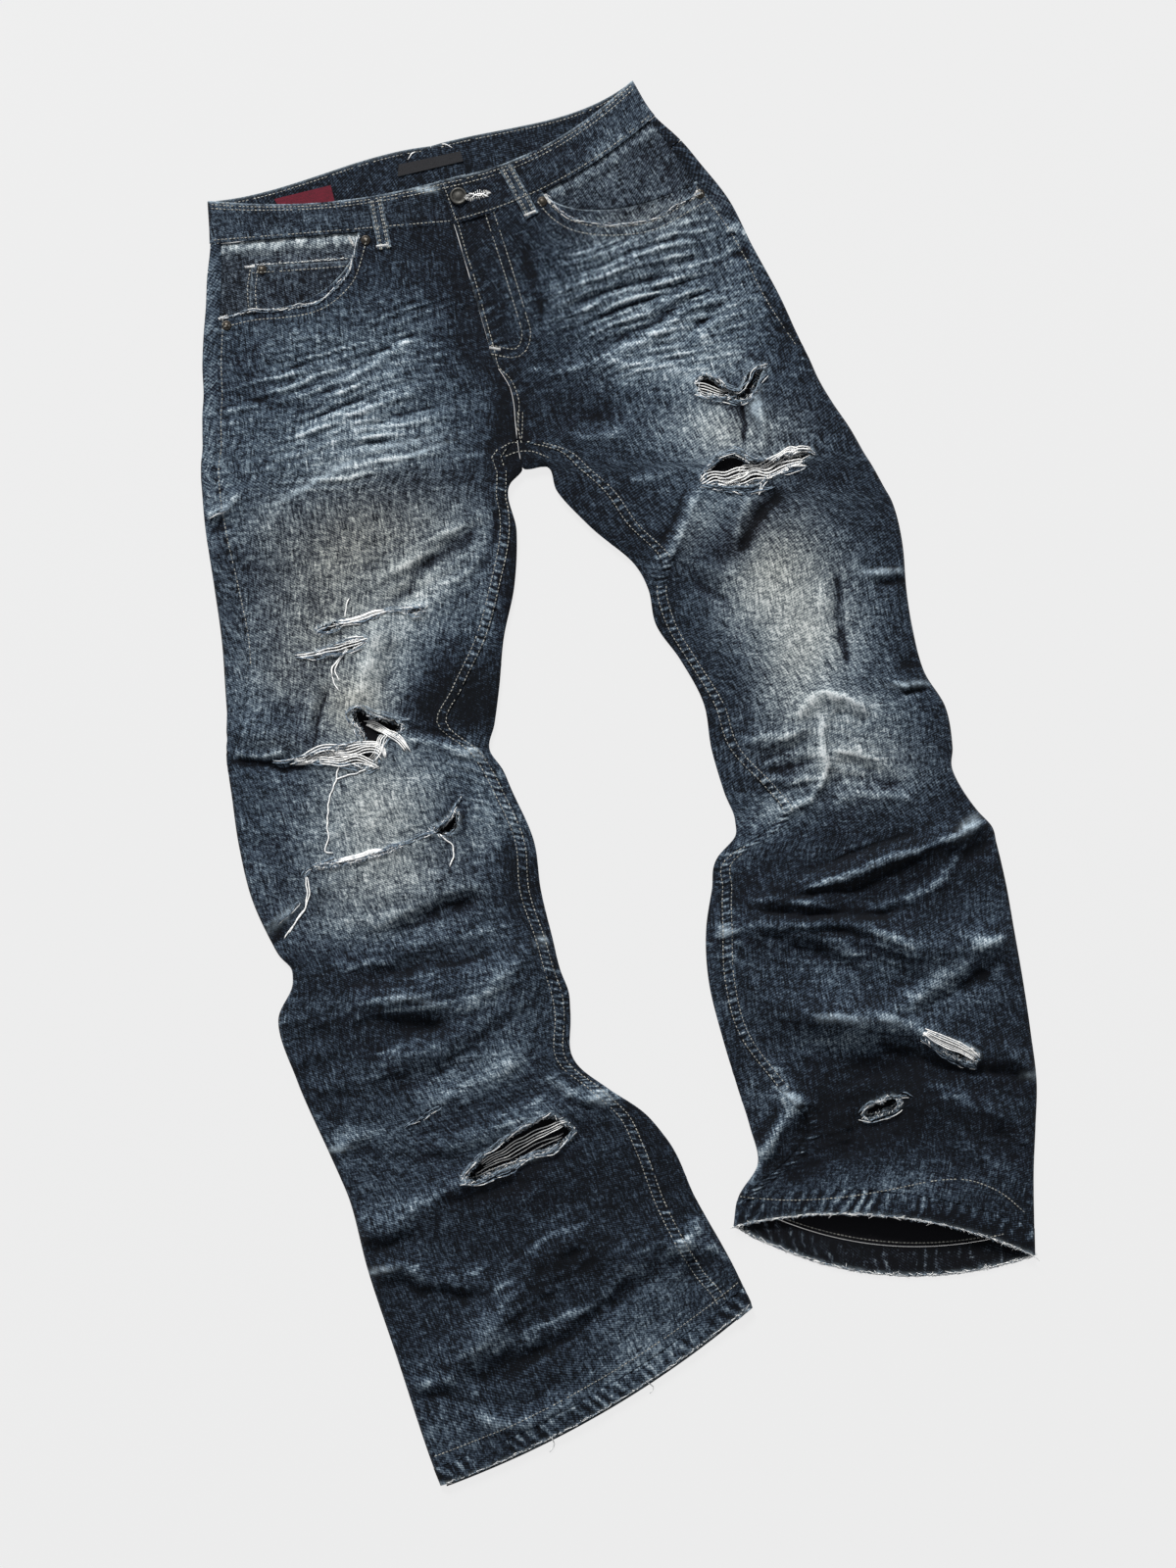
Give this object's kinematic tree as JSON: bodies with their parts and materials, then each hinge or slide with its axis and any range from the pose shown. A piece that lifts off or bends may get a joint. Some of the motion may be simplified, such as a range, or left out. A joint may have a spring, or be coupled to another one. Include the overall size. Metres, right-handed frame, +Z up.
{
  "type": "ripped jeans",
  "caption": "Adult five-pocket denim jeans with ripped thighs and knees, laid flat front up on a surface, legs apart and creased, as clothing or room dressing.",
  "frame": {"origin": "on the surface that the jeans lie on, under the middle of their laid-out box", "axes": "+Y up the garment towards the waist, +X towards the wearer's left leg, +Z up from the surface, out of the front of the jeans"},
  "size_m": [0.7252, 1.219, 0.0215],
  "materials": {
    "denim": "matte, washed and worn indigo twill",
    "denim_inside": "matte, unfaded inner face of the waistband",
    "aged_metal": "dark aged plating, worn at the rims",
    "worn_nickel": "dull nickel plating with wear",
    "label_black": "matte woven tape, bare",
    "label_red": "matte woven tape, bare"
  },
  "bodies": {
    "root": {"front_panel_right": "denim", "front_panel_left": "denim", "back_panel_right": "denim", "back_panel_left": "denim", "yoke_right": "denim", "yoke_left": "denim", "pocket_facing_right": "denim", "pocket_facing_left": "denim", "coin_pocket": "denim", "fly_placket": "denim", "hem_front_right": "denim", "hem_back_right": "denim", "hem_front_left": "denim", "hem_back_left": "denim", "waistband_front_right": "denim", "waistband_front_left": "denim", "waistband_back": "denim_inside", "back_pocket_right": "denim", "back_pocket_left": "denim", "loop_front_right": "denim", "loop_front_left": "denim", "loop_back_right": "denim", "loop_back_centre": "denim", "loop_back_left": "denim", "label_main": "label_black", "label_size": "label_red", "waist_button": "worn_nickel", "rivet_waist_right": "aged_metal", "rivet_coin": "aged_metal", "rivet_side_right": "aged_metal", "rivet_waist_left": "aged_metal", "rivet_side_left": "aged_metal"}
  },
  "joints": []
}
